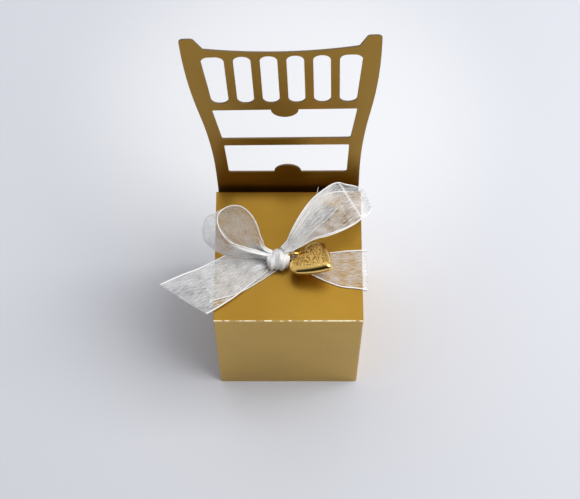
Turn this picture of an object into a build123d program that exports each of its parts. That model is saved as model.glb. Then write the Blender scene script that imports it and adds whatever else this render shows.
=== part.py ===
"""Favor box in the form of a ballroom chair.

A folded gold card carton is the seat, and its rear wall rises as the die-cut chair back.
The lid is creased to the front wall and tucks in behind its rear edge. An organza ribbon is
tied round the lid in a bow, and a puffed heart charm hangs from the knot on a small ring.
"""
import os
from math import asin, cos, radians, sin, sqrt

from build123d import *

# Driving dimensions, in millimetres and degrees
# Carton
BOX_WIDTH = 38.0
BOX_DEPTH = 37.2
BOX_HEIGHT = 42.0
BOARD = 0.4
CREASE_RADIUS = 0.2
LID_SIDE_GAP = 0.1
LID_SEAT_GAP = 0.3
LID_FOLD_RADIUS = 0.3
LID_AJAR = 5.0
TUCK_LENGTH = 7.2
TUCK_SIDE_GAP = 1.3
TUCK_TAPER = 3.0
TUCK_CORNER = 3.0
TUCK_SWING_GAP = 0.2
DUST_CENTRE_GAP = 9.0
DUST_FRONT_GAP = 1.2
DUST_REAR_GAP = 5.0
DUST_TAPER = 4.0
DUST_CORNER = 1.5
GLUE_WIDTH = 8.0
GLUE_SLANT = 3.0
GLUE_END_GAP = 1.5
FLAP_SIDE_GAP = 0.3
BOTTOM_REAR_REACH = 24.0
BOTTOM_FRONT_REACH = 23.0
BOTTOM_CENTRE_GAP = 11.0
BOTTOM_TAPER = 5.0
BOTTOM_CORNER = 2.0
LOCK_NOTCH_WIDTH = 15.0
LOCK_NOTCH_DEPTH = 3.0

# Chair back, with heights above the seat
SEAT_STEP = 0.6
BACK_HEIGHT = 70.2
BACK_FLARE = 3.95
FLARE_START = 12.0
FLARE_END = 67.0
STILE = 3.3
TOP_STILE = 4.0
LOW_RAIL_TOP = 11.5
MID_RAIL_BOTTOM = 24.9
MID_RAIL_TOP = 28.0
TOP_PANEL_BOTTOM = 41.2
SLOT_BOTTOM = 44.1
SLOT_TOP = 63.3
SLOT_BAR = 2.05
SLOT_END_FLAT = 0.2
SLOTS_EACH_SIDE = 3
LOW_DISC_RADIUS = 3.45
TOP_DISC_RADIUS = 3.3
WINDOW_CORNER = 0.5
TOP_RAIL_END = 66.3
TOP_RAIL_DIP = 1.7
EAR_TOP_WIDTH = 3.1
EAR_FOOT_WIDTH = 5.0
EAR_CORNER = 1.1

# Ribbon and bow, with headings turned from the right-hand side towards the back
RIBBON = 0.2
RIBBON_WIDTH = 12.7
STRAP_WIDTH = 11.0
STRAP_WAIST = 4.4
STRAP_WAIST_REACH = 5.5
STRAP_SETBACK = -5.05
STRAP_BULGE = 1.1
KNOT_X = -2.6
KNOT_Y = -2.65
KNOT_LENGTH = 5.2
KNOT_WIDTH = 5.6
KNOT_HEIGHT = 4.6
KNOT_BAND = 2.8
KNOT_END_WIDTH = 2.4
ROOT_WIDTH = 3.2
ROOT_START = 1.0
RIGHT_LOOP_HEADING = 37.0
RIGHT_LOOP_CREST = 21.8
RIGHT_LOOP_CREST_HEIGHT = 10.0
RIGHT_LOOP_RISE = 8.9
RIGHT_LOOP_UNDER_RISE = 6.6
RIGHT_LOOP_BULGE = 6.2
RIGHT_LOOP_END_WIDTH = 7.5
RIGHT_LOOP_UNDER = 2.7
RIGHT_LOOP_ROOT_LOW = 4.0
RIGHT_LOOP_ROOT_HIGH = 4.6
LEFT_LOOP_HEADING = 148.7
LEFT_LOOP_LENGTH = 12.4
LEFT_LOOP_RADIUS = 5.25
LEFT_LOOP_LEAN = 20.0
LEFT_LOOP_LEAN_HEADING = -47.0
LEFT_LOOP_BASE = 1.3
LEFT_LOOP_GATHER = 9.0
LEFT_LOOP_ROOT_LOW = 2.9
LEFT_LOOP_ROOT_HEIGHT = 1.6
LEFT_TAIL_HEADING = 203.1
LEFT_TAIL_LONG_EDGE = 30.0
LEFT_TAIL_SHORT_EDGE = 22.2
LEFT_TAIL_FLARE = 14.0
RIGHT_TAIL_HEADING = 51.0
RIGHT_TAIL_LONG_EDGE = 20.0
RIGHT_TAIL_SHORT_EDGE = 17.0
RIGHT_TAIL_FLARE = 16.0
RIGHT_TAIL_WIDTH = 7.4
TAIL_LIFT = 0.35
TAIL_ROOT_HEIGHT = 2.2
TAIL_SETTLE = 8.0

# Heart charm and its ring
HEART_HEADING = -37.0
HEART_LIFT = 30.0
HEART_ROLL = -10.0
HEART_LENGTH = 9.0
HEART_LOBE_RADIUS = 3.05
HEART_LOBE_SPREAD = 2.8
HEART_LOBE_SET = 0.95
HEART_POINT_RADIUS = 1.05
HEART_THICKNESS = 4.2
LINK_LEVEL = 2.5
BAIL_RADIUS = 1.25
BAIL_WIRE = 0.25
RING_RADIUS = 1.9
RING_WIRE = 0.26
WIRE_SIDE_COUNT = 8
LINK_X = 5.88
LINK_Y = 0.98
LINK_SLACK = 0.4

# Levels and edges that follow from the sizes above
half_width = BOX_WIDTH / 2
half_depth = BOX_DEPTH / 2
wall_inside_x = half_width - BOARD
wall_inside_y = half_depth - BOARD
# The bottom flaps lie in layers: the rear one lowest, then the front one, then the two sides
front_flap_level = BOARD
side_flap_level = front_flap_level + BOARD
bottom_inside = side_flap_level + BOARD
# Each corner crease of the carton is parted on the slant, this far in from the corner
crease_cut = 2 * BOARD + CREASE_RADIUS
lid_top = BOX_HEIGHT
lid_under = lid_top - BOARD
side_top = lid_under - LID_SEAT_GAP
lid_half_width = half_width - LID_SIDE_GAP
# The rear corner of the tuck flap swings on an arc about the lid crease, and clears the chair back
swing_reach = BOX_DEPTH - BOARD - TUCK_SWING_GAP
lid_depth = sqrt(swing_reach**2 - (TUCK_LENGTH + BOARD) ** 2)
lid_rear = lid_depth - half_depth
strap_top = lid_top + RIBBON


def heading(angle):
    """Level direction at an angle from the right-hand side of the box."""
    return Vector(cos(radians(angle)), sin(radians(angle)), 0)


def prism(points, plane, depth, corners=0.0, rounded=()):
    """Straight-edged plate, with some of its corners rounded in its own plane."""
    face = make_face(Polyline(*points, close=True))
    if rounded:
        chosen = [Vector(*points[index]) for index in rounded]
        picked = [face.vertices().sort_by_distance(point)[0] for point in chosen]
        face = fillet(picked, corners)
    return extrude(plane * face, depth)


def wall(outline, height):
    """One wall of the rounded square tube, cut from it along the corner creases."""
    outer = RectangleRounded(BOX_WIDTH, BOX_DEPTH, CREASE_RADIUS + BOARD)
    inner = RectangleRounded(2 * wall_inside_x, 2 * wall_inside_y, CREASE_RADIUS)
    tube = extrude(outer - inner, height)
    return tube & prism(outline, Plane.XY, height)


def front_wall():
    """Front panel, with its top edge cut on the slant where the lid is creased to it."""
    inside = -half_depth + crease_cut
    outline = [
        (-half_width, -half_depth),
        (half_width, -half_depth),
        (half_width - crease_cut, inside),
        (-half_width + crease_cut, inside),
    ]
    crease = [(-half_depth, lid_top), (inside, lid_top), (inside, lid_top - crease_cut)]
    left_side = Plane.YZ.offset(-half_width)
    return wall(outline, lid_top) - prism(crease, left_side, BOX_WIDTH)


def side_wall(side):
    """Side panel, side -1 for left and 1 for right, a little lower than the lid."""
    inside = side * (half_width - crease_cut)
    outline = [
        (side * half_width, -half_depth),
        (inside, -half_depth + crease_cut),
        (inside, half_depth - crease_cut),
        (side * half_width, half_depth),
    ]
    return wall(outline, side_top)


def back_half_width(height):
    """Half width of the chair back: two equal arcs make its side flare out above the seat."""
    rise = FLARE_END - FLARE_START
    radius = (rise**2 + BACK_FLARE**2) / (4 * BACK_FLARE)
    base = half_width - SEAT_STEP
    climb = min(max(height - FLARE_START, 0), rise)
    if climb <= rise / 2:
        return base + radius - sqrt(radius**2 - climb**2)
    return base + BACK_FLARE - radius + sqrt(radius**2 - (rise - climb) ** 2)


def back_outline():
    """Right half of the chair back above the seat, from its centre line outwards."""
    base = half_width - SEAT_STEP
    top = base + BACK_FLARE
    middle = (back_half_width((FLARE_START + FLARE_END) / 2), (FLARE_START + FLARE_END) / 2)
    lower_flare = TangentArc((base, FLARE_START), middle, tangent=(0, 1))
    upper_flare = TangentArc((top, FLARE_END), middle, tangent=(0, -1))
    ear_inside = top - EAR_TOP_WIDTH
    rail_end = (top - EAR_FOOT_WIDTH, TOP_RAIL_END)
    rail_centre = (0, TOP_RAIL_END - TOP_RAIL_DIP)
    ear = Polyline((top, FLARE_END), (top, BACK_HEIGHT), (ear_inside, BACK_HEIGHT), rail_end)
    rail = TangentArc(rail_centre, rail_end, tangent=(1, 0))
    foot = Polyline(rail_centre, (0, -BOARD), (base, -BOARD), (base, FLARE_START))
    face = make_face([lower_flare, upper_flare, *ear.edges(), rail, *foot.edges()])
    corners = [v for v in face.vertices() if abs(v.Y - BACK_HEIGHT) < BOARD]
    return fillet(corners, EAR_CORNER)


def window(bottom, top):
    """Opening between two rails, as wide as the stiles leave it."""
    low = back_half_width(bottom) - STILE
    high = back_half_width(top) - STILE
    face = make_face(Polyline((-low, bottom), (low, bottom), (high, top), (-high, top), close=True))
    return fillet(face.vertices(), WINDOW_CORNER)


def slots():
    """Upright slots that share the right half of the top panel; the last one follows the stile."""
    low_end = back_half_width(SLOT_BOTTOM) - TOP_STILE
    high_end = back_half_width(SLOT_TOP) - TOP_STILE
    width = (low_end + SLOT_BAR / 2) / SLOTS_EACH_SIDE - SLOT_BAR
    made = []
    left = SLOT_BAR / 2
    for number in range(SLOTS_EACH_SIDE):
        last = number == SLOTS_EACH_SIDE - 1
        low = low_end if last else left + width
        high = high_end if last else left + width
        corners = [(left, SLOT_BOTTOM), (low, SLOT_BOTTOM), (high, SLOT_TOP), (left, SLOT_TOP)]
        face = make_face(Polyline(*corners, close=True))
        made.append(fillet(face.vertices(), (width - SLOT_END_FLAT) / 2))
        left += width + SLOT_BAR
    return made


def chair_back():
    """Rear wall and chair back in one die-cut panel."""
    half = back_outline()
    for slot in slots():
        half -= slot
    face = half + mirror(half, about=Plane.YZ)
    face -= window(LOW_RAIL_TOP, MID_RAIL_BOTTOM)
    face -= window(MID_RAIL_TOP, TOP_PANEL_BOTTOM)
    face += Pos(0, LOW_RAIL_TOP) * Circle(LOW_DISC_RADIUS)
    face += Pos(0, TOP_PANEL_BOTTOM) * Circle(TOP_DISC_RADIUS)
    panel = Plane((0, half_depth, lid_top), x_dir=(1, 0, 0), z_dir=(0, -1, 0))
    inside = half_depth - crease_cut
    outline = [
        (-half_width, half_depth),
        (-half_width + crease_cut, inside),
        (half_width - crease_cut, inside),
        (half_width, half_depth),
    ]
    return wall(outline, lid_top) + extrude(panel * face, BOARD)


def glue_flap():
    """Strip of the right wall that is glued inside the rear wall, below the tuck flap."""
    low = bottom_inside + GLUE_END_GAP
    high = lid_under - TUCK_LENGTH - GLUE_END_GAP
    outer = wall_inside_x - CREASE_RADIUS
    inner = outer - GLUE_WIDTH
    points = [
        (outer, low),
        (outer, high),
        (inner, high - GLUE_SLANT),
        (inner, low + GLUE_SLANT),
    ]
    plane = Plane((0, wall_inside_y, 0), x_dir=(1, 0, 0), z_dir=(0, -1, 0))
    return prism(points, plane, BOARD)


def bottom_flap(reach, level, sign, notch):
    """Front or rear flap of the snap-lock bottom; sign is 1 at the rear and -1 at the front."""
    wide = wall_inside_x - FLAP_SIDE_GAP
    root = sign * wall_inside_y
    tip = sign * (wall_inside_y - reach)
    points = [
        (-wide, root),
        (wide, root),
        (wide - BOTTOM_TAPER, tip),
        (-wide + BOTTOM_TAPER, tip),
    ]
    flap = prism(points, Plane.XY.offset(level), BOARD, BOTTOM_CORNER, (2, 3))
    if notch:
        wide_half = LOCK_NOTCH_WIDTH / 2
        narrow_half = wide_half - LOCK_NOTCH_DEPTH
        deep = tip + sign * LOCK_NOTCH_DEPTH
        slot = [(-wide_half, tip), (wide_half, tip), (narrow_half, deep), (-narrow_half, deep)]
        flap -= prism(slot, Plane.XY.offset(level), BOARD)
    return flap


def bottom_side_flap(side):
    """Inner flap of the snap-lock bottom, creased to a side wall."""
    long = wall_inside_y - FLAP_SIDE_GAP
    tip = BOTTOM_CENTRE_GAP / 2
    points = [
        (side * wall_inside_x, -long),
        (side * wall_inside_x, long),
        (side * tip, long - BOTTOM_TAPER),
        (side * tip, -long + BOTTOM_TAPER),
    ]
    return prism(points, Plane.XY.offset(side_flap_level), BOARD, BOTTOM_CORNER, (2, 3))


def lid_panel():
    """Seat panel, cut on the slant along the front crease and rounded over at the rear fold."""
    points = [
        (-half_depth, lid_top),
        (lid_rear, lid_top),
        (lid_rear, lid_under),
        (-half_depth + BOARD, lid_under),
    ]
    panel = prism(points, Plane.YZ.offset(-lid_half_width), 2 * lid_half_width)
    fold = panel.edges().filter_by(Axis.X).sort_by(lambda e: e.center().Y + e.center().Z)[-1]
    return fillet(fold, LID_FOLD_RADIUS)


def lid_tuck_flap():
    """Flap folded down from the lid's rear edge, narrower towards its free end."""
    wide = lid_half_width - TUCK_SIDE_GAP
    narrow = wide - TUCK_TAPER
    low = lid_under - TUCK_LENGTH
    points = [(-wide, lid_under), (wide, lid_under), (narrow, low), (-narrow, low)]
    plane = Plane((0, lid_rear, 0), x_dir=(1, 0, 0), z_dir=(0, -1, 0))
    return prism(points, plane, BOARD, TUCK_CORNER, (2, 3))


def dust_flap(side):
    """Small flap under the lid, creased to the top of a side wall."""
    front = -wall_inside_y + DUST_FRONT_GAP
    rear = lid_rear - BOARD - DUST_REAR_GAP
    tip = DUST_CENTRE_GAP / 2
    points = [
        (side * wall_inside_x, front),
        (side * wall_inside_x, rear),
        (side * tip, rear - DUST_TAPER),
        (side * tip, front + DUST_TAPER),
    ]
    return prism(points, Plane.XY.offset(side_top - BOARD), BOARD, DUST_CORNER, (2, 3))


def strap_outline():
    """Right half of the ribbon over the lid, drawn in from the lid's edge towards the knot."""
    edge = half_width + STRAP_BULGE
    wide = STRAP_WIDTH / 2
    waist = STRAP_WAIST / 2
    front_edge = (edge, STRAP_SETBACK - wide)
    rear_edge = (edge, STRAP_SETBACK + wide)
    front_waist = (STRAP_WAIST_REACH, KNOT_Y - waist)
    rear_waist = (STRAP_WAIST_REACH, KNOT_Y + waist)
    front = TangentArc(front_edge, front_waist, tangent=(-1, 0))
    rear = TangentArc(rear_edge, rear_waist, tangent=(-1, 0))
    hem = Line(front_edge, rear_edge)
    middle = Polyline(front_waist, (0, KNOT_Y - waist), (0, KNOT_Y + waist), rear_waist)
    return make_face([front, hem, rear, *middle.edges()])


def lid_strap():
    """Ribbon round the lid: over its top, out past its side edges and back under it."""
    level = lid_top - BOARD / 2
    reach = half_width + STRAP_BULGE
    outer = SlotOverall(2 * reach, BOARD + 2 * RIBBON)
    inner = SlotOverall(2 * (reach - RIBBON), BOARD)
    plane = Plane((0, STRAP_SETBACK + STRAP_WIDTH / 2, level), x_dir=(1, 0, 0), z_dir=(0, -1, 0))
    band = extrude(plane * (outer - inner), STRAP_WIDTH)
    below = Pos(0, STRAP_SETBACK, level - BOARD) * Box(2 * reach, STRAP_WIDTH, 2 * BOARD)
    half = strap_outline()
    outline = half + mirror(half, about=Plane.YZ)
    above = extrude(Plane.XY.offset(level) * outline, 2 * BOARD)
    return (band & below) + (band & above)


def bow_knot():
    """Tied centre of the bow: a barrel of ribbon round the roots, flat where it lies on the strap."""
    end = KNOT_LENGTH / 2
    band = KNOT_BAND / 2
    profile = [
        (-end, 0),
        (-end, KNOT_END_WIDTH / 2),
        (-band, KNOT_WIDTH / 2),
        (band, KNOT_WIDTH / 2),
        (end, KNOT_END_WIDTH / 2),
        (end, 0),
    ]
    barrel = revolve(make_face(Polyline(*profile, close=True)), Axis.X)
    above = Pos(0, 0, (KNOT_WIDTH - KNOT_HEIGHT) / 2) * Box(KNOT_LENGTH, KNOT_WIDTH, KNOT_HEIGHT)
    return Pos(KNOT_X, KNOT_Y, strap_top + KNOT_HEIGHT - KNOT_WIDTH / 2) * (barrel & above)


def along(angle):
    """Upright plane through the knot that runs out at a heading, with its own y upwards."""
    out = heading(angle)
    return Plane((KNOT_X, KNOT_Y, lid_top), x_dir=out, z_dir=(out.Y, -out.X, 0))


def over(angle):
    """Level plane on the lid whose x runs out from the knot at a heading."""
    return Plane((KNOT_X, KNOT_Y, lid_top), x_dir=heading(angle), z_dir=(0, 0, 1))


def shell(face):
    """Outline of a ribbon loop: the face without its middle."""
    return face - offset(face, -RIBBON)


def right_loop():
    """Broad loop seen flat from above, creased across its crest and bulging past it."""
    root = ROOT_START
    crest = (RIGHT_LOOP_CREST, RIGHT_LOOP_CREST_HEIGHT)
    under = (RIGHT_LOOP_CREST + RIGHT_LOOP_BULGE / 4, RIGHT_LOOP_UNDER)
    end = (RIGHT_LOOP_CREST + RIGHT_LOOP_BULGE, (RIGHT_LOOP_CREST_HEIGHT + RIGHT_LOOP_UNDER) / 2)
    middle = (root + RIGHT_LOOP_CREST) / 2
    upper = ThreePointArc((root, RIGHT_LOOP_ROOT_HIGH), (middle, RIGHT_LOOP_RISE), crest)
    bulge = ThreePointArc(crest, end, under)
    lower = ThreePointArc(under, (middle, RIGHT_LOOP_UNDER_RISE), (root, RIGHT_LOOP_ROOT_LOW))
    gather = Line((root, RIGHT_LOOP_ROOT_LOW), (root, RIGHT_LOOP_ROOT_HIGH))
    ring = shell(make_face([upper, bulge, lower, gather]))
    band = extrude(along(RIGHT_LOOP_HEADING) * ring, RIBBON_WIDTH / 2, both=True)
    wide = RIBBON_WIDTH / 2
    plan = [
        (root, -ROOT_WIDTH / 2),
        (RIGHT_LOOP_CREST, -wide),
        (end[0], -RIGHT_LOOP_END_WIDTH / 2),
        (end[0], RIGHT_LOOP_END_WIDTH / 2),
        (RIGHT_LOOP_CREST, wide),
        (root, ROOT_WIDTH / 2),
    ]
    cut = prism(plan, over(RIGHT_LOOP_HEADING), 2 * RIGHT_LOOP_CREST_HEIGHT)
    return (band & cut) - bow_knot()


def left_loop():
    """Teardrop loop that stands on its edge and leans over to the front."""
    centre = LEFT_LOOP_LENGTH
    radius = LEFT_LOOP_RADIUS
    touch_x = centre - radius**2 / centre
    touch_y = radius * sqrt(1 - (radius / centre) ** 2)
    far = (centre + radius, 0)
    face = make_face([
        Line((ROOT_START, 0), (touch_x, touch_y)),
        RadiusArc((touch_x, touch_y), far, radius),
        RadiusArc(far, (touch_x, -touch_y), radius),
        Line((touch_x, -touch_y), (ROOT_START, 0)),
    ])
    upright = cos(radians(LEFT_LOOP_LEAN))
    lean = heading(LEFT_LOOP_LEAN_HEADING) * sin(radians(LEFT_LOOP_LEAN)) + Vector(0, 0, upright)
    low = LEFT_LOOP_BASE
    high = LEFT_LOOP_BASE + RIBBON_WIDTH * upright
    # The loop's section is square to its lean, and level cuts trim its two edges
    outward = heading(LEFT_LOOP_HEADING)
    middle = Vector(KNOT_X, KNOT_Y, lid_top + (low + high) / 2)
    section = Plane(middle, x_dir=outward - lean * outward.dot(lean), z_dir=lean)
    band = extrude(section * shell(face), RIBBON_WIDTH, both=True)
    root_low = LEFT_LOOP_ROOT_LOW
    reach = centre + radius + RIBBON_WIDTH
    gather = [
        (ROOT_START, root_low),
        (LEFT_LOOP_GATHER, low),
        (reach, low),
        (reach, high),
        (LEFT_LOOP_GATHER, high),
        (ROOT_START, root_low + LEFT_LOOP_ROOT_HEIGHT),
    ]
    side = along(LEFT_LOOP_HEADING).offset(-reach)
    return (band & prism(gather, side, 2 * reach)) - bow_knot()


def tail(angle, front_edge, rear_edge, flare, width):
    """Ribbon end: down from the knot and out over the lid, with its end cut on the slant."""
    reach = max(front_edge, rear_edge)
    low = RIBBON + TAIL_LIFT
    high = TAIL_ROOT_HEIGHT
    points = [
        (ROOT_START, high),
        (TAIL_SETTLE, low),
        (reach, low),
        (reach, low + RIBBON),
        (TAIL_SETTLE, low + RIBBON),
        (ROOT_START, high + RIBBON),
    ]
    wide = width / 2
    band = prism(points, along(angle).offset(-wide), width)
    plan = [
        (ROOT_START, -ROOT_WIDTH / 2),
        (flare, -wide),
        (rear_edge, -wide),
        (front_edge, wide),
        (flare, wide),
        (ROOT_START, ROOT_WIDTH / 2),
    ]
    return (band & prism(plan, over(angle), KNOT_HEIGHT)) - bow_knot()


def left_tail():
    """Tail that runs out past the lid's front left corner at its full width."""
    edges = (LEFT_TAIL_SHORT_EDGE, LEFT_TAIL_LONG_EDGE)
    return tail(LEFT_TAIL_HEADING, *edges, LEFT_TAIL_FLARE, RIBBON_WIDTH)


def right_tail():
    """Tail that lies folded lengthwise under the right loop."""
    edges = (RIGHT_TAIL_SHORT_EDGE, RIGHT_TAIL_LONG_EDGE)
    return tail(RIGHT_TAIL_HEADING, *edges, RIGHT_TAIL_FLARE, RIGHT_TAIL_WIDTH)


# The ring stands upright in the knot, and the charm hangs on its far side with the point lifted
link = Vector(KNOT_X + LINK_X, KNOT_Y + LINK_Y, strap_top + LINK_LEVEL)
charm_out = heading(HEART_HEADING) * cos(radians(HEART_LIFT)) + Vector(0, 0, sin(radians(HEART_LIFT)))
charm_side = heading(HEART_HEADING + 90)
charm_plane = Plane(link, x_dir=charm_out, z_dir=charm_out.cross(charm_side))
bail_centre = LINK_SLACK
notch = bail_centre + BAIL_RADIUS


def wire_ring(radius, wire):
    """Closed ring of wire, with a section of a few flats."""
    section = Plane.XZ * Pos(radius, 0) * RegularPolygon(wire, WIRE_SIDE_COUNT)
    return revolve(section, Axis.Z)


def jump_ring():
    """Wire ring that the ribbon is tied through."""
    out = Vector(LINK_X, LINK_Y, 0).normalized()
    upright = Plane(link - out * RING_RADIUS, x_dir=out, z_dir=(out.Y, -out.X, 0))
    return upright * wire_ring(RING_RADIUS, RING_WIRE)


def heart_lobe(side):
    """Round lobe that tapers to the heart's point, before its two faces are pressed flat."""
    big = HEART_LOBE_RADIUS
    small = HEART_POINT_RADIUS
    lobe = Vector(HEART_LOBE_SET, side * HEART_LOBE_SPREAD, 0)
    run = Vector(HEART_LENGTH - small, 0, 0) - lobe
    slope = asin((big - small) / run.length)
    big_touch = (big * sin(slope), big * cos(slope))
    small_touch = (run.length + small * sin(slope), small * cos(slope))
    end = run.length + small
    bend = (-big * sin(radians(45) - slope / 2), big * cos(radians(45) - slope / 2))
    turn = radians(45) + slope / 2
    profile = make_face([
        ThreePointArc((-big, 0), bend, big_touch),
        Line(big_touch, small_touch),
        ThreePointArc(small_touch, (run.length + small * sin(turn), small * cos(turn)), (end, 0)),
        Line((end, 0), (-big, 0)),
    ])
    return Plane(lobe, x_dir=run, z_dir=(0, 0, 1)) * revolve(profile, Axis.X)


def heart_charm():
    """Puffed heart with its hanging loop."""
    size = 2 * (HEART_LENGTH + HEART_LOBE_RADIUS)
    heart = (heart_lobe(-1) + heart_lobe(1)) & Box(size, size, HEART_THICKNESS)
    rolled = Pos(notch, 0, 0) * Rot(HEART_ROLL, 0, 0) * heart
    loop = Pos(bail_centre, 0, 0) * wire_ring(BAIL_RADIUS, BAIL_WIRE)
    return charm_plane * (rolled + loop)


carton = {
    "front_wall": front_wall(),
    "left_wall": side_wall(-1),
    "right_wall": side_wall(1),
    "chair_back": chair_back(),
    "glue_flap": glue_flap(),
    "bottom_rear_flap": bottom_flap(BOTTOM_REAR_REACH, 0, 1, True),
    "bottom_front_flap": bottom_flap(BOTTOM_FRONT_REACH, front_flap_level, -1, False),
    "bottom_left_flap": bottom_side_flap(-1),
    "bottom_right_flap": bottom_side_flap(1),
    "left_dust_flap": dust_flap(-1),
    "right_dust_flap": dust_flap(1),
}
on_lid = {
    "lid_panel": lid_panel(),
    "lid_tuck_flap": lid_tuck_flap(),
    "lid_strap": lid_strap(),
    "bow_knot": bow_knot(),
    "bow_left_loop": left_loop(),
    "bow_right_loop": right_loop(),
    "bow_left_tail": left_tail(),
    "bow_right_tail": right_tail(),
    "jump_ring": jump_ring(),
    "heart_charm": heart_charm(),
}
# The crease springs back a little, so the lid and all that it carries rest slightly open
lid_crease = Axis((0, -half_depth, lid_top), (1, 0, 0))
nodes = carton | {name: shape.rotate(lid_crease, LID_AJAR) for name, shape in on_lid.items()}

os.makedirs("parts", exist_ok=True)
for name, shape in nodes.items():
    export_step(shape, f"parts/{name}.step")

tuck_crease = Vertex(0, lid_rear - BOARD, lid_under).rotate(lid_crease, LID_AJAR)
charm_hinge = Vertex(*link).rotate(lid_crease, LID_AJAR)
# One turn takes the charm from where it rests, lifted and rolled, to lying level
half_lift = radians(HEART_LIFT) / 2
half_roll = radians(HEART_ROLL) / 2
turn_out = heading(HEART_HEADING) * cos(half_lift) * sin(half_roll)
turn_side = charm_side * -sin(half_lift) * cos(half_roll)
turn_up = Vector(0, 0, sin(half_lift) * sin(half_roll))
charm_axis = (turn_out + turn_side + turn_up).normalized().rotate(Axis.X, LID_AJAR)
print("lid crease axis y, z", -half_depth, lid_top)
print("tuck flap crease", [round(value, 4) for value in tuck_crease.center()])
print("dust flap axis x, z", wall_inside_x, round(side_top - BOARD, 4))
print("charm hinge", [round(value, 4) for value in charm_hinge.center()])
print("charm axis", [round(value, 6) for value in charm_axis])
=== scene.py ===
# %% [markdown]
# # A favor box shaped like a ballroom chair
#
# The real thing is one sheet of gold card, folded into a little box whose rear wall rises as a
# chair back. A white organza ribbon is tied round the lid in a bow, and a puffed gilt heart hangs
# from the knot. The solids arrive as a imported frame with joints, and this lesson dresses them:
# it gives the card its foil, ties the ribbon, and makes the charm.

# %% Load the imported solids
import math

import bmesh
import bpy
from mathutils import Matrix, Vector


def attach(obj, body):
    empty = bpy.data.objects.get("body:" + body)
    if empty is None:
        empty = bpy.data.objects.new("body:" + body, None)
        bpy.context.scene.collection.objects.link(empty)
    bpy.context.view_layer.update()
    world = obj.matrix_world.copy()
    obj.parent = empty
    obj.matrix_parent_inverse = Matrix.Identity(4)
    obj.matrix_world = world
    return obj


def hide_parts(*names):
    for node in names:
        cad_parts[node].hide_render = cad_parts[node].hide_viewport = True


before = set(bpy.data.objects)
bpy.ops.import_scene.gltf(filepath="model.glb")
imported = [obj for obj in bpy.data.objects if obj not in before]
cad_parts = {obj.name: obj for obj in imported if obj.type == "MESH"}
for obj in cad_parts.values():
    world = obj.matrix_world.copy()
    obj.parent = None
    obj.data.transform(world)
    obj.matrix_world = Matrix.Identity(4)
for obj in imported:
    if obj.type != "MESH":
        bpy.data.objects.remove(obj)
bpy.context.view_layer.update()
MM = 0.001

# %% [markdown]
# ## Camera
#
# The photograph looks down on the seat from in front, steeply enough that the lid is the largest
# face in view. A Blender camera looks along its own -Z, so a camera that looks straight down needs
# no turn at all, and tipping it about X by what is left to the horizon gives the viewing angle.

# %% Camera
CAMERA_ELEVATION = 63.5
CAMERA_PLACE = Vector((0.4, -155.3, 356.8)) * MM
CAMERA_LENS = 84.35

camera_data = bpy.data.cameras.new("camera")
camera_data.lens = CAMERA_LENS
camera_data.sensor_width = 36.0
camera_data.clip_start = 0.01
camera = bpy.data.objects.new("camera", camera_data)
camera.location = CAMERA_PLACE
camera.rotation_euler = (math.radians(90.0 - CAMERA_ELEVATION), 0.0, 0.0)
bpy.context.scene.collection.objects.link(camera)
bpy.context.scene.camera = camera
bpy.context.scene.view_settings.view_transform = "Standard"
print("camera looks down at", CAMERA_ELEVATION, "degrees")

# %% [markdown]
# ## Small helpers for shader nodes
#
# Every finish here is a graph of shader nodes. Adding a node, setting its sockets and linking it
# takes many lines by hand, so one helper does that for any node, and a few more for what comes back
# again and again. A value that is itself a socket is linked, and anything else is written on the
# socket.

# %% Node helpers
def add_node(tree, kind, sockets=None, **settings):
    """Adds one shader node, with its settings and its input sockets filled."""
    made = tree.nodes.new("ShaderNode" + kind)
    for name, value in settings.items():
        setattr(made, name, value)
    for key, value in (sockets or {}).items():
        if isinstance(value, bpy.types.NodeSocket):
            tree.links.new(value, made.inputs[key])
        else:
            made.inputs[key].default_value = value
    return made


def maths(tree, operation, *values):
    """One arithmetic node; gives its output socket."""
    return add_node(tree, "Math", dict(enumerate(values)), operation=operation).outputs[0]


def ramp(tree, value, low, high, start=0.0, end=1.0):
    """Eases a value from start to end while it goes from low to high."""
    sockets = {"Value": value, "From Min": low, "From Max": high, "To Min": start, "To Max": end}
    made = add_node(tree, "MapRange", sockets, interpolation_type="SMOOTHSTEP")
    return made.outputs["Result"]


def noise(tree, place, scale, detail):
    """Soft noise around 0.5 at a place."""
    return add_node(tree, "TexNoise", {"Vector": place, "Scale": scale, "Detail": detail}).outputs["Fac"]


def blend_colours(tree, share, first, second):
    """Mixes two colours by a share."""
    made = add_node(tree, "Mix", data_type="RGBA")
    colour_inputs = [socket for socket in made.inputs if socket.type == "RGBA"]
    tree.links.new(share, made.inputs["Factor"])
    for socket, value in zip(colour_inputs, (first, second)):
        if isinstance(value, bpy.types.NodeSocket):
            tree.links.new(value, socket)
        else:
            socket.default_value = value
    return [socket for socket in made.outputs if socket.type == "RGBA"][0]


def start_material(name):
    """New node material; gives it with its tree and its Principled shader."""
    material = bpy.data.materials.new(name)
    material.use_nodes = True
    tree = material.node_tree
    return material, tree, tree.nodes["Principled BSDF"]


print("helpers ready")

# %% [markdown]
# ## Table
#
# The box stands on a pale table. Painted shade makes it a little darker towards the front, and a
# painted pool of light makes it palest right behind the box, where the windows of the chair back show
# it.

# %% Table
TABLE_SIZE = 3.0
TABLE_COLOUR = (0.67, 0.685, 0.745, 1.0)
TABLE_PAINTED_SHADE = 0.88
PAINTED_SHADE_UNTIL = -0.10
PAINTED_SHADE_GONE = 0.08
HAZE_SHARE = 0.15
PAINTED_LIGHT_COLOUR = (0.79, 0.80, 0.84, 1.0)
PAINTED_LIGHT_PLACE = (0.0, 0.07, 0.0)
PAINTED_LIGHT_INSIDE = 0.025
PAINTED_LIGHT_OUTSIDE = 0.08

table_mesh = bpy.data.meshes.new("table")
shape = bmesh.new()
bmesh.ops.create_grid(shape, x_segments=1, y_segments=1, size=TABLE_SIZE / 2)
shape.to_mesh(table_mesh)
shape.free()
table = bpy.data.objects.new("table", table_mesh)
bpy.context.scene.collection.objects.link(table)

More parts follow.
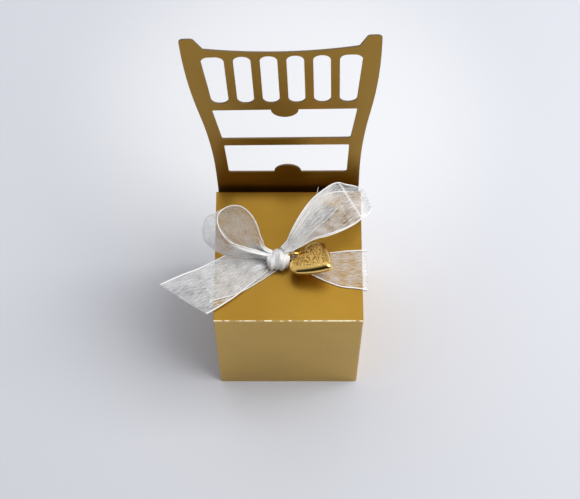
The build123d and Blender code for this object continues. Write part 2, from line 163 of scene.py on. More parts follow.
table_material, tree, shader = start_material("pale_table")
place = add_node(tree, "TexCoord").outputs["Object"]
haze = maths(tree, "MULTIPLY", noise(tree, place, 6.0, 2.0), HAZE_SHARE)
# Painted shade: the table is coloured darker towards the front.
depth = add_node(tree, "SeparateXYZ", {0: place}).outputs["Y"]
painted_light_and_haze = maths(tree, "ADD", ramp(tree, depth, PAINTED_SHADE_UNTIL, PAINTED_SHADE_GONE), haze)
painted_shade_colour = [part * TABLE_PAINTED_SHADE for part in TABLE_COLOUR[:3]] + [1.0]
table_tone = blend_colours(tree, painted_light_and_haze, painted_shade_colour, TABLE_COLOUR)
# Painted pool of light: the table is coloured palest right behind the box.
from_painted_light = add_node(tree, "VectorMath", {0: place, 1: PAINTED_LIGHT_PLACE}, operation="DISTANCE")
painted_light_share = ramp(tree, from_painted_light.outputs["Value"], PAINTED_LIGHT_INSIDE, PAINTED_LIGHT_OUTSIDE, 1.0, 0.0)
tree.links.new(blend_colours(tree, painted_light_share, table_tone, PAINTED_LIGHT_COLOUR), shader.inputs["Base Color"])
shader.inputs["Roughness"].default_value = 0.6
shader.inputs["Specular IOR Level"].default_value = 0.2
table_mesh.materials.append(table_material)
print("table", TABLE_SIZE, "m across")

# %% [markdown]
# ## Light
#
# The light is soft daylight. One wide lamp to the right throws the shadow that lies to the left of the
# box, a wider and weaker one behind evens out the lid, and the world fills in the rest. Foil shows
# what is round it. The photographer stood in front, so the world is dim there, and that, with painted
# shade in the foil's colour, is what darkens the chair back.

# %% Lamps
SEAT_CENTRE = (0.0, 0.0, 0.04)


def add_lamp(name, place, aim, size, watts, colour):
    """Square area lamp that faces a point."""
    data = bpy.data.lights.new(name, "AREA")
    data.size = size
    data.energy = watts
    data.color = colour
    lamp = bpy.data.objects.new(name, data)
    lamp.location = place
    lamp.rotation_euler = (Vector(aim) - Vector(place)).to_track_quat("-Z", "Y").to_euler()
    bpy.context.scene.collection.objects.link(lamp)


add_lamp("window_light", (0.40, -0.06, 0.60), SEAT_CENTRE, 0.55, 4.6, (1.0, 0.99, 0.96))
add_lamp("ceiling_light", (-0.12, 0.42, 0.75), SEAT_CENTRE, 0.70, 0.85, (0.97, 0.98, 1.0))

# %% World
WORLD_DIM = 0.02
WORLD_BRIGHT = 0.60
DIM_BEFORE = -0.68
BRIGHT_AFTER = -0.10

world = bpy.data.worlds.new("soft_room")
world.use_nodes = True
bpy.context.scene.world = world
tree = world.node_tree
sky = tree.nodes["Background"]
sky.inputs["Color"].default_value = (0.95, 0.97, 1.0, 1.0)
direction = add_node(tree, "TexCoord").outputs["Generated"]
towards = add_node(tree, "SeparateXYZ", {0: direction}).outputs["Y"]
strength = ramp(tree, towards, DIM_BEFORE, BRIGHT_AFTER, WORLD_DIM, WORLD_BRIGHT)
tree.links.new(strength, sky.inputs["Strength"])
print("world strength from", WORLD_DIM, "in front to", WORLD_BRIGHT, "behind")

# %% [markdown]
# ## Gold card
#
# The card is faced with a satin gold foil on both sides. Up close it has faint cloudy patches and a
# very fine grain. Where the card is cut, the edge shows a dull core, coloured darker than the core
# itself as painted shade on the cut edges, and where it is creased the foil cracks into pale flecks,
# most of all along the front edge of the lid. All of this can be told from where a point is on the
# box, so the material reads Object coordinates, starting with the flecks.

# %% Flecks along the creases
BOX_HALF_WIDTH = 19.0 * MM
BOX_HALF_DEPTH = 18.6 * MM
LID_TOP = 42.0 * MM
CREASE_WIDTH = 0.30 * MM
CREASE_RAGGED = 0.25 * MM
CORNER_WIDTH = 0.35 * MM


def crease_flecks(tree, place):
    """How far the foil is cracked: along the lid's front crease, and on the upright corners."""
    x, y, z = add_node(tree, "SeparateXYZ", {0: place}).outputs
    chips = noise(tree, place, 900.0, 5.0)

    ahead = maths(tree, "SUBTRACT", maths(tree, "MULTIPLY", y, -1.0), BOX_HALF_DEPTH - CREASE_WIDTH)
    height = maths(tree, "SUBTRACT", z, LID_TOP - CREASE_WIDTH)
    ragged = maths(tree, "MULTIPLY", noise(tree, place, 650.0, 4.0), CREASE_RAGGED)
    nearness = maths(tree, "ADD", maths(tree, "MINIMUM", ahead, height), ragged)
    front_crease = ramp(tree, nearness, 0.05 * MM, 0.20 * MM)
    front_flecks = maths(tree, "MULTIPLY", front_crease, ramp(tree, chips, 0.42, 0.56, 0.12, 1.0))

    aside = maths(tree, "SUBTRACT", maths(tree, "ABSOLUTE", x), BOX_HALF_WIDTH - CORNER_WIDTH)
    along = maths(tree, "SUBTRACT", maths(tree, "ABSOLUTE", y), BOX_HALF_DEPTH - CORNER_WIDTH)
    below_lid = maths(tree, "SUBTRACT", LID_TOP, z)
    upright = maths(tree, "MINIMUM", maths(tree, "MINIMUM", aside, along), below_lid)
    corner = ramp(tree, upright, 0.0, 0.25 * MM)
    corner_flecks = maths(tree, "MULTIPLY", corner, ramp(tree, chips, 0.62, 0.68))
    return maths(tree, "MAXIMUM", front_flecks, corner_flecks)


print("flecks within", round(CREASE_WIDTH / MM, 2), "mm of the front crease")

# %% [markdown]
# ## Foil on the panels
#
# Which face of a panel is a cut edge depends on how the panel stands, so the material is made for
# panels that face along X, Y and Z. The front wall, the lid, its tuck flap and the chair back are
# seen most. The tuck flap and the chair back get their own gloss, and the front wall, the lid and the
# chair back get painted light in their colour: the front wall is painted paler and greener as a
# painted reflection of the table, and the lid and the chair back are painted darker as painted shade.

# %% Foil card material
GOLD_LIGHT = (0.50, 0.285, 0.036)
GOLD_DEEP = (0.47, 0.262, 0.031)
# Colour of the cut edges: the card's dull core, darkened with painted shade.
CARD_CORE_AND_SHADE = (0.13, 0.08, 0.03, 1.0)
CRACKED_FOIL = (0.90, 0.80, 0.52, 1.0)
CORE_ROUGHNESS = 0.7
GLOSS_SPREAD = 0.03
FLECK_RELIEF = 3.0


def toned(colour, painted_light_tone):
    """A colour with each of its parts scaled, as a shader takes it."""
    return [part * share for part, share in zip(colour, painted_light_tone)] + [1.0]


def foil_card(name, face_axis, gloss=0.30, painted_light_tone=(1.0, 1.0, 1.0)):
    """Gold foil on card whose broad faces look along one axis: 0, 1 or 2 for X, Y or Z."""
    material, tree, shader = start_material(name)
    coordinates = add_node(tree, "TexCoord")
    place = coordinates.outputs["Object"]
    facing = add_node(tree, "SeparateXYZ", {0: coordinates.outputs["Normal"]}).outputs[face_axis]
    cut_edge = ramp(tree, maths(tree, "ABSOLUTE", facing), 0.35, 0.60, 1.0, 0.0)
    clouds = noise(tree, place, 75.0, 3.0)
    grain = noise(tree, place, 3200.0, 2.0)
    flecks = crease_flecks(tree, place)
    bare = maths(tree, "MAXIMUM", cut_edge, flecks)

    cloudy = ramp(tree, clouds, 0.35, 0.65)
    # The per-panel tone is painted light: a painted reflection on the front wall, painted shade on the
    # lid and the chair back.
    gold = blend_colours(tree, cloudy, toned(GOLD_DEEP, painted_light_tone), toned(GOLD_LIGHT, painted_light_tone))
    with_core_and_shade = blend_colours(tree, cut_edge, gold, CARD_CORE_AND_SHADE)
    tree.links.new(blend_colours(tree, flecks, with_core_and_shade, CRACKED_FOIL), shader.inputs["Base Color"])
    tree.links.new(maths(tree, "SUBTRACT", 1.0, bare), shader.inputs["Metallic"])
    satin = ramp(tree, clouds, 0.3, 0.7, gloss - GLOSS_SPREAD, gloss + GLOSS_SPREAD)
    rough = maths(tree, "MAXIMUM", satin, maths(tree, "MULTIPLY", bare, CORE_ROUGHNESS))
    tree.links.new(rough, shader.inputs["Roughness"])
    relief = maths(tree, "ADD", grain, maths(tree, "MULTIPLY", flecks, FLECK_RELIEF))
    bump = add_node(tree, "Bump", {"Height": relief, "Strength": 0.03, "Distance": 0.1 * MM})
    tree.links.new(bump.outputs[0], shader.inputs["Normal"])
    shader.inputs["Coat Weight"].default_value = 0.15
    shader.inputs["Coat Roughness"].default_value = 0.25
    return material


print("gold foil ready")

# %% Cover the panels
# Painted light in the foil's colour: a painted reflection of the table on the front wall, painted shade
# on the lid.
FRONT_PAINTED_REFLECTION = (1.07, 1.15, 1.03)
LID_PAINTED_SHADE = (0.84, 0.82, 0.80)
TUCK_FLAP_GLOSS = 0.50

foils = [foil_card("gold_card_" + axis, number) for number, axis in enumerate("xyz")]
level_panels = [
    "left_dust_flap", "right_dust_flap", "bottom_rear_flap", "bottom_front_flap", "bottom_left_flap",
    "bottom_right_flap",
]
coverings = {name: foils[2] for name in level_panels}
coverings["left_wall"] = foils[0]
coverings["right_wall"] = foils[0]
coverings["glue_flap"] = foils[1]
coverings["front_wall"] = foil_card("gold_card_front", 1, painted_light_tone=FRONT_PAINTED_REFLECTION)
coverings["lid_panel"] = foil_card("gold_card_lid", 2, painted_light_tone=LID_PAINTED_SHADE)
coverings["lid_tuck_flap"] = foil_card("gold_card_flap", 1, gloss=TUCK_FLAP_GLOSS)
for name, foil in coverings.items():
    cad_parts[name].data.materials.clear()
    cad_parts[name].data.materials.append(foil)
print("foil on", len(coverings), "panels")

# %% [markdown]
# ## Chair back
#
# The solid chair back is dead flat and upright. The real one is a tall thin card that has warped a
# little: it leans to the left and twists as it rises. A copy of the solid is cut across into many
# low bands, so that it can bend, and each point is then moved by how far it is above the seat. A
# helper comes first, which makes a finished piece of the frame from any mesh.

# %% Finished pieces
LID_AJAR = math.radians(5.0)
LID_CREASE = Vector((0.0, -BOX_HALF_DEPTH, LID_TOP))


def new_piece(name, shape, material, body, smooth=True):
    """Turns a bmesh into a finished piece that rides on a body of the frame.

    What the lid carries is modelled on a shut lid, and is turned here to where the lid rests.
    """
    if body != "carton":
        opened = Matrix.Rotation(LID_AJAR, 3, "X")
        bmesh.ops.rotate(shape, cent=LID_CREASE, matrix=opened, verts=shape.verts)
    mesh = bpy.data.meshes.new(name)
    shape.to_mesh(mesh)
    shape.free()
    for polygon in mesh.polygons:
        polygon.use_smooth = smooth
    mesh.materials.append(material)
    piece = bpy.data.objects.new(name, mesh)
    bpy.context.scene.collection.objects.link(piece)
    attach(piece, body)
    return piece


print("the lid rests", round(math.degrees(LID_AJAR), 1), "degrees ajar")

# %% Chair back, slightly warped
BACK_RISE = 70.2 * MM
BACK_LEAN = -1.7 * MM
LEAN_CURVE = 1.3
BACK_TWIST = math.radians(1.6)
BAND_HEIGHT = 2.0 * MM
WELD_DISTANCE = 0.0005 * MM
FLAT_WITHIN = math.radians(0.5)
# Painted shade: the chair back's foil is coloured darker.
BACK_PAINTED_SHADE = (0.80, 0.80, 0.80)
BACK_GLOSS = 0.36

shape = bmesh.new()
shape.from_mesh(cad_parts["chair_back"].data)
bmesh.ops.remove_doubles(shape, verts=shape.verts, dist=WELD_DISTANCE)
bmesh.ops.dissolve_limit(shape, angle_limit=FLAT_WITHIN, verts=shape.verts, edges=shape.edges)
for band in range(1, int(BACK_RISE / BAND_HEIGHT) + 1):
    level = LID_TOP + band * BAND_HEIGHT
    everything = shape.verts[:] + shape.edges[:] + shape.faces[:]
    bmesh.ops.bisect_plane(shape, geom=everything, plane_co=(0, 0, level), plane_no=(0, 0, 1))
for vertex in shape.verts:
    rise = max(vertex.co.z - LID_TOP, 0.0) / BACK_RISE
    vertex.co.y += vertex.co.x * math.sin(BACK_TWIST * rise)
    vertex.co.x += BACK_LEAN * rise**LEAN_CURVE
bmesh.ops.triangulate(shape, faces=shape.faces)
back_foil = foil_card("gold_card_back", 1, gloss=BACK_GLOSS, painted_light_tone=BACK_PAINTED_SHADE)
chair_back = new_piece("warped_chair_back", shape, back_foil, "carton", smooth=False)
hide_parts("chair_back")
print("chair back faces:", len(chair_back.data.polygons))

# %% [markdown]
# ## Organza
#
# Organza is a sheer, stiff weave: what is under it shows through, more where it is single and less
# where it is doubled or gathered. Its two edges are woven thick, and catch the light as bright
# lines. The ribbon's own UV map holds millimetres along and across it, so the threads follow every
# turn, and an attribute on the mesh says where the cloth is gathered and so less sheer. The same
# attribute carries painted highlights on the loops, as whiter cover.

# %% Organza threads
RIBBON_WIDTH = 12.7
THREAD_PITCH = 0.26
STREAK_STRETCH = 0.12
CREASE_STRETCH = 0.15

organza, tree, shader = start_material("white_organza")
weave_uv = add_node(tree, "UVMap", uv_map="weave").outputs["UV"]
along_mm, across_mm, _ = add_node(tree, "SeparateXYZ", {0: weave_uv}).outputs
warp = maths(tree, "SINE", maths(tree, "MULTIPLY", across_mm, 2.0 * math.pi / THREAD_PITCH))
weft = maths(tree, "SINE", maths(tree, "MULTIPLY", along_mm, 2.0 * math.pi / THREAD_PITCH))
threads = maths(tree, "MAXIMUM", warp, weft)

# Streaks where a few threads lie closer together, creases across them, and wide patches
drawn_long = maths(tree, "MULTIPLY", along_mm, STREAK_STRETCH)
streak_place = add_node(tree, "CombineXYZ", {0: drawn_long, 1: across_mm}).outputs[0]
streaks = noise(tree, streak_place, 4.5, 2.0)
drawn_wide = maths(tree, "MULTIPLY", across_mm, CREASE_STRETCH)
crease_place = add_node(tree, "CombineXYZ", {0: along_mm, 1: drawn_wide}).outputs[0]
creases = noise(tree, crease_place, 1.6, 3.0)
patches = noise(tree, weave_uv, 0.30, 1.0)
print("organza threads every", THREAD_PITCH, "mm")

# %% Organza cover
SELVEDGE = 0.42
SHEER = 0.06
THREAD_COVER = 0.05
GATHER_AND_HIGHLIGHT_COVER = 0.45
SELVEDGE_COVER = 0.92
MOST_COVER = 0.95

gathered_and_highlit = add_node(tree, "Attribute", attribute_name="gathered_and_highlit").outputs["Fac"]
from_edge = maths(tree, "MINIMUM", across_mm, maths(tree, "SUBTRACT", RIBBON_WIDTH, across_mm))
selvedge = ramp(tree, from_edge, SELVEDGE * 0.6, SELVEDGE, 1.0, 0.0)
cover = maths(tree, "ADD", SHEER, maths(tree, "MULTIPLY", threads, THREAD_COVER))
cover = maths(tree, "ADD", cover, ramp(tree, streaks, 0.36, 0.68, -0.06, 0.19))
cover = maths(tree, "ADD", cover, ramp(tree, creases, 0.45, 0.75, 0.0, 0.06))
cover = maths(tree, "ADD", cover, ramp(tree, patches, 0.30, 0.70, -0.04, 0.08))
# More cover where the cloth is gathered and doubled, and painted highlights on the loops as whiter
# cover.
cover = maths(tree, "ADD", cover, maths(tree, "MULTIPLY", gathered_and_highlit, GATHER_AND_HIGHLIGHT_COVER))
cover = maths(tree, "MAXIMUM", cover, maths(tree, "MULTIPLY", selvedge, SELVEDGE_COVER))
tree.links.new(maths(tree, "MINIMUM", cover, MOST_COVER), shader.inputs["Alpha"])
print("cover from about", SHEER, "where it is sheer to", MOST_COVER, "where it is gathered")

# %% Organza surface
relief = maths(tree, "ADD", maths(tree, "MULTIPLY", threads, 0.3), streaks)
bump = add_node(tree, "Bump", {"Height": relief, "Strength": 0.15, "Distance": 0.08 * MM})
tree.links.new(bump.outputs[0], shader.inputs["Normal"])
shader.inputs["Base Color"].default_value = (0.95, 0.95, 0.96, 1.0)
shader.inputs["Roughness"].default_value = 0.35
shader.inputs["Specular IOR Level"].default_value = 0.8
shader.inputs["Sheen Weight"].default_value = 1.0
shader.inputs["Sheen Roughness"].default_value = 0.4
print("organza has", len(tree.nodes), "nodes")

# %% [markdown]
# ## Laying a ribbon
#
# A ribbon could be simulated as cloth, but a tied bow is mostly knot and memory, and the photograph
# shows exactly where both of its edges run. So each length of ribbon is laid out as given: a list of
# stations gives the two edges at places along it, a smooth line runs through each edge, and a flat
# grid is moved onto the surface between them. Two plain curves, a peak and a hump, shape the folds.

# %% Lines through stations
STEP = 0.5
LEAST_CUTS = 3
NEARBY = 0.05


def through(points, t):
    """Place on a smooth line through the points, where t counts points from the first."""
    index = min(int(t), len(points) - 2)
    share = t - index
    here, after = points[index], points[index + 1]
    before = points[index - 1] if index > 0 else 2 * here - after
    beyond = points[index + 2] if index + 2 < len(points) else 2 * after - here
    bend = 2 * before - 5 * here + 4 * after - beyond
    turn = 3 * here - before - 3 * after + beyond
    return 0.5 * (2 * here + (after - before) * share + bend * share**2 + turn * share**3)


def cut_spots(rear, front):
    """Where the ribbon's grid is cut across, counted in stations and about a step apart."""
    spots = [0.0]
    for index in range(len(rear) - 1):
        run = max((rear[index + 1] - rear[index]).length, (front[index + 1] - front[index]).length)
        cuts = max(LEAST_CUTS, math.ceil(run / STEP))
        spots += [index + (cut + 1) / cuts for cut in range(cuts)]
    return spots


def middle_lengths(rear, front, spots):
    """How far along the ribbon's middle line each spot is."""
    middles = [(through(rear, spot) + through(front, spot)) / 2.0 for spot in spots]
    lengths = [0.0]
    for here, after in zip(middles, middles[1:]):
        lengths.append(lengths[-1] + (after - here).length)
    return lengths


def side_and_up(rear, front, spot):
    """The way from the rear edge to the front edge at a spot, and the cloth's upper side there."""
    side = through(front, spot) - through(rear, spot)
    ahead, behind = min(spot + NEARBY, len(rear) - 1), max(spot - NEARBY, 0.0)
    run = through(rear, ahead) + through(front, ahead) - through(rear, behind) - through(front, behind)
    return side, run.cross(side).normalized()


def peak(value, middle, reach):
    """Rises straight from 0 to 1 at the middle, and falls back to 0 as far beyond it."""
    return max(1.0 - abs(value - middle) / reach, 0.0)


def hump(value, middle, width):
    """A round hump of height 1 at the middle."""
    return math.exp(-(((value - middle) / width) ** 2))


print("ribbon grids are cut every", STEP, "mm")

# %% [markdown]
# ## Pleats and thickness
#
# Where the two edges come closer than the ribbon is wide, the spare cloth has to go somewhere, and it
# rises in pleats. Their depth comes from how much cloth there is to take up. The woven edges are
# thicker than the sheer middle, so one Solidify modifier is told by a vertex group where they are.

# %% Pleats and thickness
PLEAT_COUNT = 5
PLEAT_LIMIT = 0.5
PLEAT_WANDER = 0.35
EASE = 0.30
DRAWN_FROM = 1.1
DRAWN_RANGE = 4.0
RIBBON_BODY = 0.07
RIBBON_EDGE = 0.20


def pleat_depth(chord):
    """Depth of the pleats that take up a whole ribbon's width on a narrower chord."""
    slack = max(RIBBON_WIDTH / chord - EASE, 1.0)
    return min(chord / PLEAT_COUNT / 4.0 * math.sqrt(slack**2 - 1.0), PLEAT_LIMIT)


def pleat_wave(along, across, start):
    """Pleats as a wave from -1 to 1 across the ribbon, which wander a little along it."""
    wander = PLEAT_WANDER * math.sin(5.3 * across + 0.09 * along + start)
    return math.sin(2.0 * math.pi * (PLEAT_COUNT * across + wander))


def thicken(piece):
    """Gives the cloth its thickness, most of it along the woven edges."""
    piece.vertex_groups.new(name="selvedge")
    thick = piece.modifiers.new("cloth thickness", "SOLIDIFY")
    thick.thickness = RIBBON_EDGE * MM
    thick.offset = 0.0
    thick.vertex_group = "selvedge"
    thick.thickness_vertex_group = RIBBON_BODY / RIBBON_EDGE


def cloth_share(piece, length):
    """Area of a piece's cloth as a share of its flat cut."""
    cloth = sum(polygon.area for polygon in piece.data.polygons) / MM**2
    return round(cloth / (RIBBON_WIDTH * length), 2)


print("pleats up to", PLEAT_LIMIT, "mm deep")

# %% [markdown]
# ## One length of ribbon
#
# Now the parts come together. A flat grid is made as long as there are cuts, with its rows closest at
# the two woven edges, and every point of it is carried to its place on the ribbon. It also notes how
# far it is gathered or lies double, along with the painted highlights on the loops, whether it is on
# a woven edge, and where it would lie on the flat ribbon.

# %% Ribbon helper
ROWS_ACROSS = 56


def lay_ribbon(name, stations, extra=None, pleats=1.0, raised=False, layers_and_highlights=None):
    """Ribbon through stations of (rear edge, front edge), in millimetres; gives it and its length.

    Where the two edges come closer than the ribbon is wide, the cloth between them is pleated, to a
    share given by pleats. Raised pleats stand only on the upper side. extra(along, across) adds folds,
    where across goes from 0 at the rear edge to 1 at the front edge and along is in millimetres.
    layers_and_highlights(spot, across) says how far the cloth lies double there, and on the loops it
    also adds painted highlights as whiter cover; spot counts stations.
    """
    rear = [Vector(station[0]) for station in stations]
    front = [Vector(station[1]) for station in stations]
    spots = cut_spots(rear, front)
    lengths = middle_lengths(rear, front, spots)
    columns = len(spots) - 1

    shape = bmesh.new()
    weave = shape.loops.layers.uv.new("weave")
    gathered_and_highlit_layer = shape.verts.layers.float.new("gathered_and_highlit")
    edge_layer = shape.verts.layers.deform.verify()
    bmesh.ops.create_grid(shape, x_segments=columns, y_segments=ROWS_ACROSS, size=1.0)
    flat = {}
    for vertex in shape.verts:
        column = round((vertex.co.x + 1.0) / 2.0 * columns)
        row = round((vertex.co.y + 1.0) / 2.0 * ROWS_ACROSS)
        spot, along = spots[column], lengths[column]
        across = 0.5 - 0.5 * math.cos(math.pi * row / ROWS_ACROSS)
        flat[vertex.index] = (along, across * RIBBON_WIDTH)
        side, up = side_and_up(rear, front, spot)
        wave = pleat_wave(along, across, len(name)) + (1.0 if raised else 0.0)
        lift = pleats * pleat_depth(side.length) * wave
        lift += extra(along, across) if extra else 0.0
        vertex.co = (through(rear, spot) + side * across + up * lift) * MM
        drawn_in = max((RIBBON_WIDTH / side.length - DRAWN_FROM) / DRAWN_RANGE, 0.0)
        # On the loops this also carries painted highlights, as more white cover.
        doubled_and_highlit = layers_and_highlights(spot, across) if layers_and_highlights else 0.0
        vertex[gathered_and_highlit_layer] = min(drawn_in + doubled_and_highlit, 1.0)
        near = min(across, 1.0 - across) * RIBBON_WIDTH
        vertex[edge_layer][0] = 1.0 if near < SELVEDGE else 0.0
    for face in shape.faces:
        for loop in face.loops:
            loop[weave].uv = flat[loop.vert.index]
    piece = new_piece(name, shape, organza, "lid")
    thicken(piece)
    length = lengths[-1]
    print(name, "is", round(length, 1), "mm long")
    print("its cloth is", cloth_share(piece, length), "of the flat cut")
    return piece, length


print("ribbon grids have", ROWS_ACROSS, "rows across")

# %% [markdown]
# ## Strap round the lid
#
# The ribbon first goes round the lid: over the top under the bow, out past the side edges in a
# small slack bulge, and back beneath the lid. It is a closed band, drawn in where the knot grips it.
# The right half is given by stations. The left half mirrors it, but slants forward under the tail.

# %% Strap
LID_UNDER_RIBBON = 41.45
STRAP_SLANT = 0.17
SLANT_FROM = 1.0
right_half = [
    ((0.7, -0.9, 42.3), (0.7, -3.5, 42.3)),
    ((6.1, -0.5, 42.4), (3.0, -4.7, 42.4)),
    ((10.7, 0.0, 42.35), (8.6, -7.6, 42.35)),
    ((14.6, 0.4, 42.3), (13.2, -9.4, 42.3)),
    ((17.7, 0.6, 42.25), (17.2, -9.9, 42.25)),
    ((19.3, 0.7, 42.22), (19.3, -10.2, 42.22)),
    ((20.1, 0.7, 41.95), (20.1, -10.3, 41.95)),
    ((19.6, 0.7, 41.58), (19.6, -10.3, 41.58)),
    ((18.4, 0.7, LID_UNDER_RIBBON), (18.4, -10.4, LID_UNDER_RIBBON)),
    ((9.0, 0.7, LID_UNDER_RIBBON), (9.0, -10.6, LID_UNDER_RIBBON)),
]


def on_left(station):
    """The same station on the left of the box, where the strap slants forward under the tail."""
    return [(-x, y - STRAP_SLANT * max(x - SLANT_FROM, 0.0), z) for x, y, z in station]


strap_stations = right_half + [on_left(station) for station in reversed(right_half)]
strap, strap_length = lay_ribbon("ribbon_strap", strap_stations, pleats=0.3, raised=True)
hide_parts("lid_strap")

# %% [markdown]
# ## Tails
#
# The left tail runs out over the corner of the lid and ends in a slanted cut beyond it. The right
# tail lies under the right loop and only shows through it. Both come out of the knot gathered.

# %% Left tail
left_tail_stations = [
    ((-4.0, -0.4, 44.1), (-3.4, -3.4, 43.4)),
    ((-8.0, 0.0, 43.4), (-5.7, -5.7, 42.95)),
    ((-11.1, 0.6, 42.95), (-8.2, -7.8, 42.8)),
    ((-14.2, 0.1, 42.75), (-11.0, -10.2, 42.75)),
    ((-18.3, -2.1, 42.75), (-13.8, -12.5, 42.75)),
    ((-22.8, -4.5, 42.85), (-16.8, -14.6, 42.75)),
    ((-27.4, -6.4, 42.9), (-19.0, -16.0, 42.8)),
    ((-32.9, -9.0, 42.8), (-20.6, -16.9, 42.7)),
]


def left_tail_folds(along, across):
    """Shallow waves, and one fold that runs out from the knot near the front edge."""
    fold = 0.9 * peak(along, 6.0, 6.0) * hump(across, 0.70, 0.08)
    droop = -1.3 * max((along - 16.0) / 12.0, 0.0) ** 2
    wave = 0.10 * math.sin(along * 0.9 + across * 4.0)
    return fold + (wave + droop) * math.sin(across * math.pi)


def left_tail_layers(spot, across):
    """Close pleats on the lid, and a fold near the knot that lies double in a narrow wedge."""
    fold = 0.55 * peak(across, 0.66, 0.16) ** 0.5 * peak(spot, 1.2, 1.5)
    return 0.1 + fold + 0.70 * peak(spot, 0.0, 5.0) ** 0.6 * (1.0 - 0.6 * across)


left_tail, left_tail_length = lay_ribbon(
    "ribbon_left_tail", left_tail_stations, left_tail_folds, layers_and_highlights=left_tail_layers,
)
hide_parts("bow_left_tail")

# %% Right tail
right_tail_stations = [
    ((-0.6, -0.4, 43.9), (0.3, -1.4, 43.7)),
    ((1.3, 3.2, 43.1), (3.4, 2.1, 43.0)),
    ((3.5, 7.6, 42.7), (6.8, 6.0, 42.7)),
    ((5.5, 11.4, 42.65), (10.2, 9.2, 42.65)),
    ((7.2, 14.9, 42.65), (12.8, 12.0, 42.65)),
]
right_tail, right_tail_length = lay_ribbon("ribbon_right_tail", right_tail_stations)
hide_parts("bow_right_tail")

# %% [markdown]
# ## Loops
#
# The left loop stands on its edge, so the photograph looks down into it and its upper selvedge draws
# a teardrop. The right loop lies flat: one broad layer goes up to a crease, curls over, and comes
# back to the knot beneath.

# %% Left loop
left_loop_stations = [
    ((-4.0, -1.4, 46.2), (-3.9, -1.7, 44.8)),
    ((-6.0, -1.0, 48.0), (-7.7, -0.8, 44.6)),
    ((-6.7, 0.0, 51.0), (-12.9, 0.8, 44.2)),
    ((-7.9, 3.0, 54.0), (-16.6, 3.9, 45.0)),
    ((-9.4, 5.3, 55.0), (-18.3, 6.6, 45.4)),
    ((-11.4, 7.1, 55.1), (-19.2, 8.4, 45.4)),
    ((-13.3, 7.6, 55.1), (-20.0, 9.2, 45.0)),
    ((-15.3, 7.2, 55.1), (-20.9, 9.0, 44.4)),
    ((-17.2, 5.7, 55.1), (-21.7, 8.1, 43.6)),
    ((-17.7, 4.1, 55.0), (-22.2, 5.2, 43.6)),
    ((-17.3, 1.9, 54.6), (-21.2, 2.2, 43.6)),
    ((-16.0, -0.2, 53.8), (-18.2, -0.3, 43.6)),
    ((-14.4, -1.5, 52.5), (-15.2, -1.4, 43.7)),
    ((-12.3, -1.8, 50.7), (-12.3, -1.7, 43.9)),
    ((-9.0, -1.9, 48.0), (-8.8, -1.8, 44.2)),
    ((-6.2, -2.1, 46.6), (-5.9, -2.4, 44.4)),
    ((-4.0, -2.2, 46.1), (-3.9, -2.5, 44.7)),
]


def loop_wrinkles(along, across):
    """Shallow waves round the bend."""
    return 0.12 * math.sin(along * 0.8 + across * 5.0) * math.sin(across * math.pi)


def left_loop_layers_and_highlight(spot, across):
    """Painted highlight: whiter inside the far bend, which faces the light; and more cover where the
    near side is drawn in.
    """
    # Painted highlight: more white cover inside the far bend.
    painted_highlight_far_side = 0.45 * peak(spot, 3.0, 4.5) * math.sin(across * math.pi)
    near_side = 0.90 * peak(spot, 12.0, 4.5) ** 0.5 * across
    return 0.1 + painted_highlight_far_side + near_side


left_loop, left_loop_length = lay_ribbon(
    "ribbon_left_loop", left_loop_stations, loop_wrinkles, layers_and_highlights=left_loop_layers_and_highlight,
)
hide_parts("bow_left_loop")

# %% Right loop
right_loop_stations = [
    ((-2.0, -0.4, 46.3), (-1.2, -1.8, 46.1)),
    ((-0.3, 1.4, 47.0), (1.4, -1.2, 46.7)),
    ((0.7, 3.3, 48.6), (4.2, -0.2, 48.0)),
    ((2.8, 6.8, 50.2), (6.7, 0.7, 49.3)),
    ((5.4, 10.4, 51.3), (10.0, 1.1, 50.6)),
    ((8.0, 12.7, 51.9), (13.5, 2.2, 51.4)),
    ((10.9, 14.7, 52.2), (16.4, 3.6, 51.9)),
    ((12.8, 15.2, 52.3), (18.6, 5.3, 52.0)),
    ((14.4, 14.9, 51.9), (19.3, 5.9, 51.6)),
    ((16.8, 15.0, 50.9), (20.4, 7.3, 50.8)),
    ((18.9, 15.0, 49.2), (21.1, 9.6, 49.4)),
    ((18.5, 15.0, 47.6), (20.9, 9.4, 47.8)),
    ((16.5, 15.3, 46.2), (20.2, 8.8, 46.4)),
    ((12.3, 15.2, 46.6), (18.1, 6.9, 46.6)),
    ((8.7, 13.6, 47.7), (14.6, 4.5, 47.6)),
    ((5.8, 11.1, 48.4), (10.8, 2.7, 48.3)),
    ((3.2, 7.3, 48.2), (7.3, 1.6, 48.1)),
    ((1.1, 3.6, 47.3), (4.5, 0.5, 47.2)),
    ((-0.2, 1.3, 46.5), (1.7, -0.8, 46.3)),
    ((-2.0, -0.4, 45.9), (-1.2, -1.7, 45.8)),
]


def right_loop_layers_and_highlight(spot, across):
    """Whiter along the top fold, where the cloth lies double and a painted highlight is added, and where
    the rear edge is turned in; sheerer beneath.
    """
    # Along the top fold: doubled cloth with a painted highlight on it.
    top_fold_and_highlight = hump(spot, 7.0, 0.16)
    turned_in = peak(across, 0.0, 0.36) ** 0.4 * peak(spot, 3.4, 3.2) ** 0.4
    sheer_below = 0.2 * peak(spot, 14.0, 4.0)
    return min(0.75 * top_fold_and_highlight + 0.90 * turned_in, 1.0) - sheer_below


right_loop, right_loop_length = lay_ribbon(
    "ribbon_right_loop", right_loop_stations, loop_wrinkles, pleats=0.55, layers_and_highlights=right_loop_layers_and_highlight,
)
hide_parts("bow_right_loop")

# %% [markdown]
# ## Loose thread
#
# One thread has come loose from the rear edge of the right loop. A slim cone is enough for it, made
# upright, turned to its heading and set between its two ends. It takes the organza too, so its mesh
# carries the map and the attribute that the material reads.

